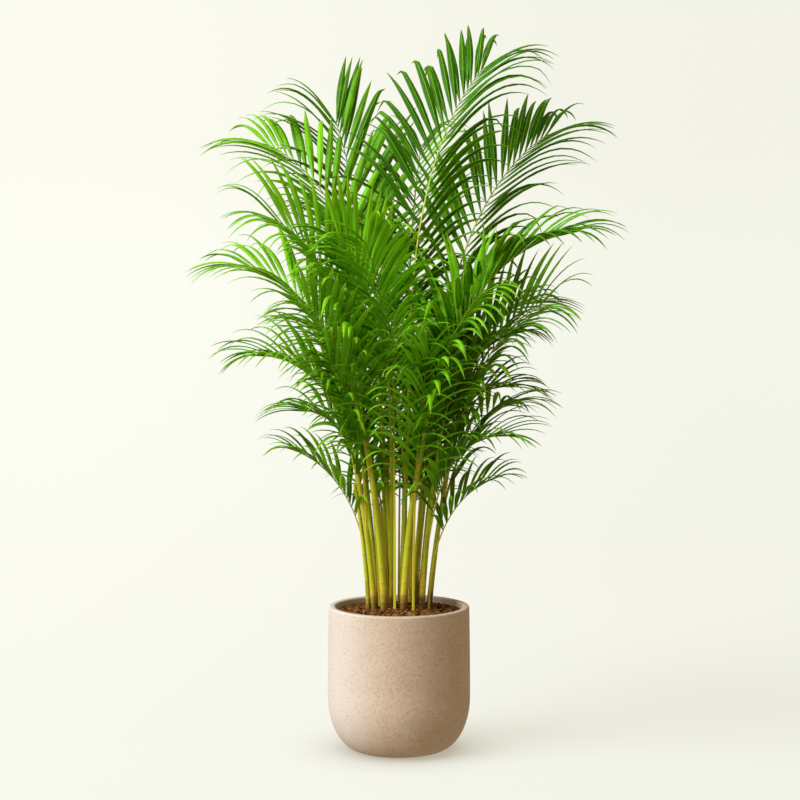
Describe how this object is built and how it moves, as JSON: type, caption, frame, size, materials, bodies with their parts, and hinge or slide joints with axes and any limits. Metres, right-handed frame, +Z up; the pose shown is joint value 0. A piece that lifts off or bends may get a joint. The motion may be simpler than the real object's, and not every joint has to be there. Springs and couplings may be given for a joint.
{
  "type": "potted palm",
  "caption": "Feather-leaved palm: a clump of ringed canes with arching, leafleted fronds, standing in potting soil in a round-bottomed cement planter.",
  "frame": {"origin": "centre of the planter's flat foot, on the surface it stands on", "axes": "+Z up along the planter's axis, -Y towards the viewer of the picture, +X to the viewer's right"},
  "size_m": [0.9373, 0.8051, 1.5588],
  "materials": {
    "cement": "cast cement, matt, warm beige with fine specks",
    "soil": "moist, crumbly dark brown potting soil",
    "cane": "smooth yellow-green cane, satin",
    "frond": "fresh green palm leaf, satin"
  },
  "bodies": {
    "root": {"cane_back_left": "cane", "cane_back_left_inner": "cane", "cane_back_middle": "cane", "cane_back_right": "cane", "cane_centre": "cane", "cane_left_edge": "cane", "cane_left_front": "cane", "cane_left_outer": "cane", "cane_middle": "cane", "cane_middle_left": "cane", "cane_middle_right": "cane", "cane_right_edge": "cane", "cane_right_front": "cane", "cane_right_outer": "cane", "frond_back_centre": "frond", "frond_back_high": "frond", "frond_back_inner": "frond", "frond_back_left": "frond", "frond_back_low": "frond", "frond_back_right": "frond", "frond_back_under": "frond", "frond_front_centre": "frond", "frond_front_corner": "frond", "frond_front_high": "frond", "frond_front_left": "frond", "frond_front_low": "frond", "frond_front_middle": "frond", "frond_front_outer": "frond", "frond_front_right": "frond", "frond_front_thin": "frond", "frond_left_back": "frond", "frond_left_bright": "frond", "frond_left_low": "frond", "frond_left_lower": "frond", "frond_left_middle": "frond", "frond_left_side": "frond", "frond_left_top": "frond", "frond_left_upper": "frond", "frond_right_inner": "frond", "frond_right_low": "frond", "frond_right_lower": "frond", "frond_right_middle": "frond", "frond_right_side": "frond", "frond_right_top": "frond", "frond_right_under": "frond", "frond_right_upper": "frond", "planter": "cement", "soil": "soil"}
  },
  "joints": []
}
